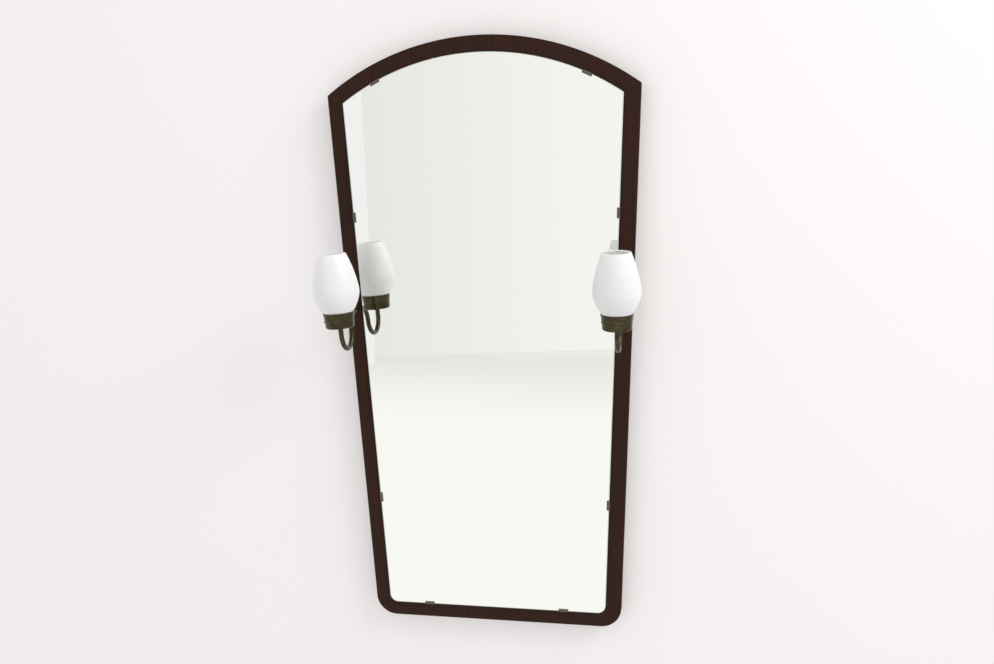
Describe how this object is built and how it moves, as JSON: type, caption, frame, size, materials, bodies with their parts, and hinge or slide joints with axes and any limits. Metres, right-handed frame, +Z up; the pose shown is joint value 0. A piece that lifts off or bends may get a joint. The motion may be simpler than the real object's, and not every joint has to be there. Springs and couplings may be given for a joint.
{
  "type": "girandole mirror",
  "caption": "Wall mirror with an arched, tapering veneered board, a bevelled pane in spring clips and a lamp on a swan-neck arm at each side.",
  "frame": {"origin": "middle of the upper batten's back face, on the wall plane and the mirror's centreline", "axes": "+Z up, +Y into the wall, +X to the right as seen from the front"},
  "size_m": [0.5863, 0.1911, 1.12],
  "materials": {
    "veneer": "dark red-brown lacquered veneer, satin",
    "plain_wood": "plain planed softwood",
    "mirror_glass": "silvered float glass, polished narrow bevel",
    "nickel": "dull nickel plate on spring steel",
    "steel": "zinc-plated steel",
    "aged_brass": "patinated brass, olive brown, satin",
    "clean_brass": "turned brass",
    "opal_glass": "opal glass, satin",
    "bulb_glass": "frosted glass",
    "black_resin": "moulded phenolic resin",
    "cream_resin": "moulded urea resin"
  },
  "bodies": {
    "mirror": {"back_board": "veneer", "upper_batten": "plain_wood", "lower_batten": "plain_wood", "mirror_pane": "mirror_glass", "clip_arch_left": "nickel", "clip_arch_left_screw": "steel", "clip_arch_right": "nickel", "clip_arch_right_screw": "steel", "clip_upper_left": "nickel", "clip_upper_left_screw": "steel", "clip_upper_right": "nickel", "clip_upper_right_screw": "steel", "clip_lower_left": "nickel", "clip_lower_left_screw": "steel", "clip_lower_right": "nickel", "clip_lower_right_screw": "steel", "clip_bottom_left": "nickel", "clip_bottom_left_screw": "steel", "clip_bottom_right": "nickel", "clip_bottom_right_screw": "steel", "hanger_left": "steel", "hanger_left_screw_top": "steel", "hanger_left_screw_bottom": "steel", "hanger_right": "steel", "hanger_right_screw_top": "steel", "hanger_right_screw_bottom": "steel", "upper_batten_screw_left": "steel", "upper_batten_screw_right": "steel", "lower_batten_screw_left": "steel", "lower_batten_screw_right": "steel", "terminal_block": "cream_resin", "terminal_block_screw": "steel", "left_arm": "aged_brass", "left_arm_collar": "aged_brass", "left_arm_washer": "steel", "left_arm_nut": "clean_brass", "left_cup": "aged_brass", "left_gallery_screw_1": "aged_brass", "left_gallery_screw_2": "aged_brass", "left_gallery_screw_3": "aged_brass", "left_cup_nut": "clean_brass", "left_lampholder": "black_resin", "left_thread_shell": "clean_brass", "left_bulb_cap": "clean_brass", "left_bulb": "bulb_glass", "right_arm": "aged_brass", "right_arm_collar": "aged_brass", "right_arm_washer": "steel", "right_arm_nut": "clean_brass", "right_cup": "aged_brass", "right_gallery_screw_1": "aged_brass", "right_gallery_screw_2": "aged_brass", "right_gallery_screw_3": "aged_brass", "right_cup_nut": "clean_brass", "right_lampholder": "black_resin", "right_thread_shell": "clean_brass", "right_bulb_cap": "clean_brass", "right_bulb": "bulb_glass"},
    "left_shade": {"left_shade": "opal_glass"},
    "right_shade": {"right_shade": "opal_glass"}
  },
  "joints": [
    {"name": "left_shade_lift", "type": "slide", "parent": "mirror", "child": "left_shade", "axis": [-0.0627, -0.0052, 0.998], "range_m": [0, 0.12]},
    {"name": "right_shade_lift", "type": "slide", "parent": "mirror", "child": "right_shade", "axis": [0, -0.0541, 0.9985], "range_m": [0, 0.12]}
  ]
}
